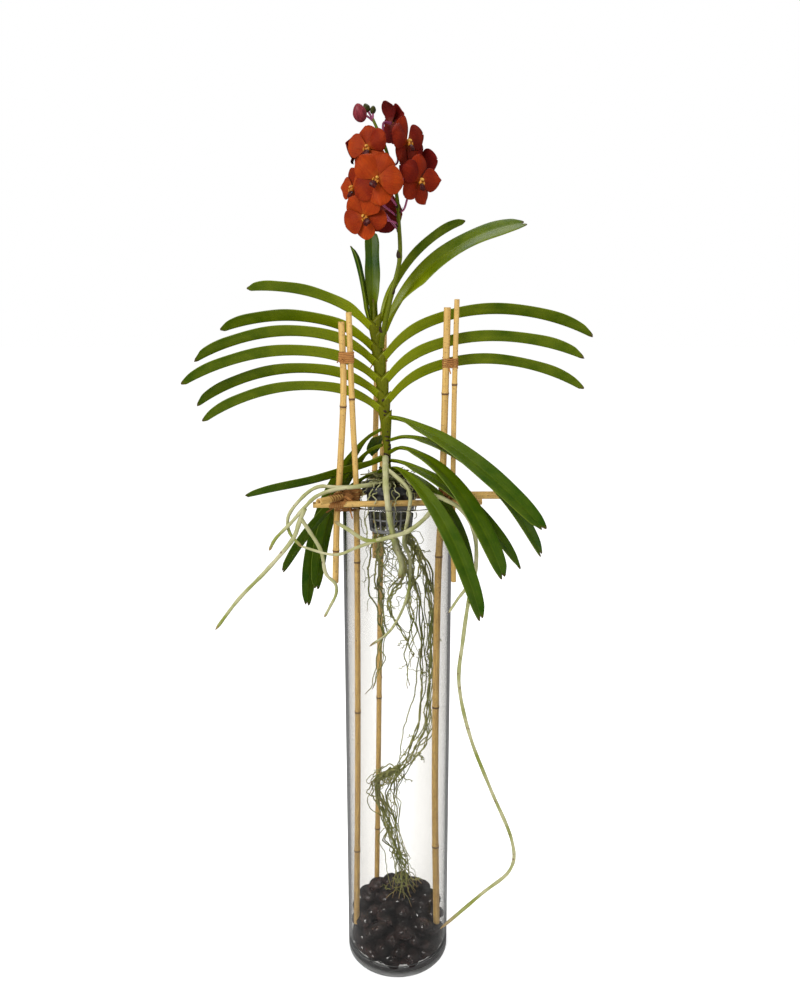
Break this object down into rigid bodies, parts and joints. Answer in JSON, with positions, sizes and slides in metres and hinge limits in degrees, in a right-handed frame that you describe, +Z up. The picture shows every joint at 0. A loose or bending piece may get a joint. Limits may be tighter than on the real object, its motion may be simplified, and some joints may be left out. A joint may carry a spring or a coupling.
{
  "type": "vanda orchid in glass cylinder",
  "caption": "Vanda orchid with strap leaves, aerial roots and orange-red blooms, in a net pot hung by bamboo canes at the mouth of a tall clear glass cylinder with dark pebbles.",
  "frame": {"origin": "centre of the glass cylinder's foot, where it stands on the table", "axes": "+Z up along the cylinder, -Y towards the front that the picture shows, +X to the viewer's right"},
  "size_m": [0.5513, 0.2647, 1.209],
  "materials": {
    "clear_glass": "clear polished",
    "river_pebble": "polished",
    "bamboo": "satin",
    "raffia": "matte",
    "pot_plastic": "matte",
    "stem_green": "satin",
    "leaf_green": "satin",
    "spike_green": "satin",
    "bloom_orange_red": "satin",
    "aerial_root": "matte",
    "fine_root": "matte"
  },
  "bodies": {
    "root": {"glass_cylinder": "clear_glass", "pebbles": "river_pebble", "cane_inner_left": "bamboo", "cane_inner_right": "bamboo", "cane_inner_back": "bamboo", "cane_outer_left": "bamboo", "cane_outer_right": "bamboo", "cane_outer_back": "bamboo", "rail_front": "bamboo", "rail_left": "bamboo", "rail_right": "bamboo", "tie_left": "raffia", "tie_right": "raffia", "tie_back": "raffia", "lashing_left": "raffia", "lashing_right": "raffia", "lashing_back": "raffia", "net_pot": "pot_plastic", "stem": "stem_green", "leaf_left_1": "leaf_green", "leaf_left_2": "leaf_green", "leaf_left_3": "leaf_green", "leaf_left_4": "leaf_green", "leaf_left_5": "leaf_green", "leaf_left_6": "leaf_green", "leaf_right_1": "leaf_green", "leaf_right_2": "leaf_green", "leaf_right_3": "leaf_green", "leaf_right_4": "leaf_green", "leaf_right_5": "leaf_green", "leaf_top_back": "leaf_green", "leaf_top_front": "leaf_green", "leaf_low_right_1": "leaf_green", "leaf_low_right_2": "leaf_green", "leaf_low_right_3": "leaf_green", "leaf_low_right_4": "leaf_green", "leaf_low_right_5": "leaf_green", "leaf_low_right_6": "leaf_green", "leaf_low_left_1": "leaf_green", "leaf_low_left_2": "leaf_green", "leaf_low_left_3": "leaf_green", "leaf_low_left_4": "leaf_green", "leaf_low_left_5": "leaf_green", "flower_spike": "spike_green", "bloom_front": "bloom_orange_red", "bloom_upper_left": "bloom_orange_red", "bloom_left": "bloom_orange_red", "bloom_lower_left": "bloom_orange_red", "bloom_top_right": "bloom_orange_red", "bloom_right_upper": "bloom_orange_red", "bloom_right_lower": "bloom_orange_red", "bloom_back": "bloom_orange_red", "bloom_back_right": "bloom_orange_red", "bloom_back_left": "bloom_orange_red", "roots_front": "aerial_root", "roots_left": "aerial_root", "roots_right": "aerial_root", "fine_roots": "fine_root"}
  },
  "joints": []
}
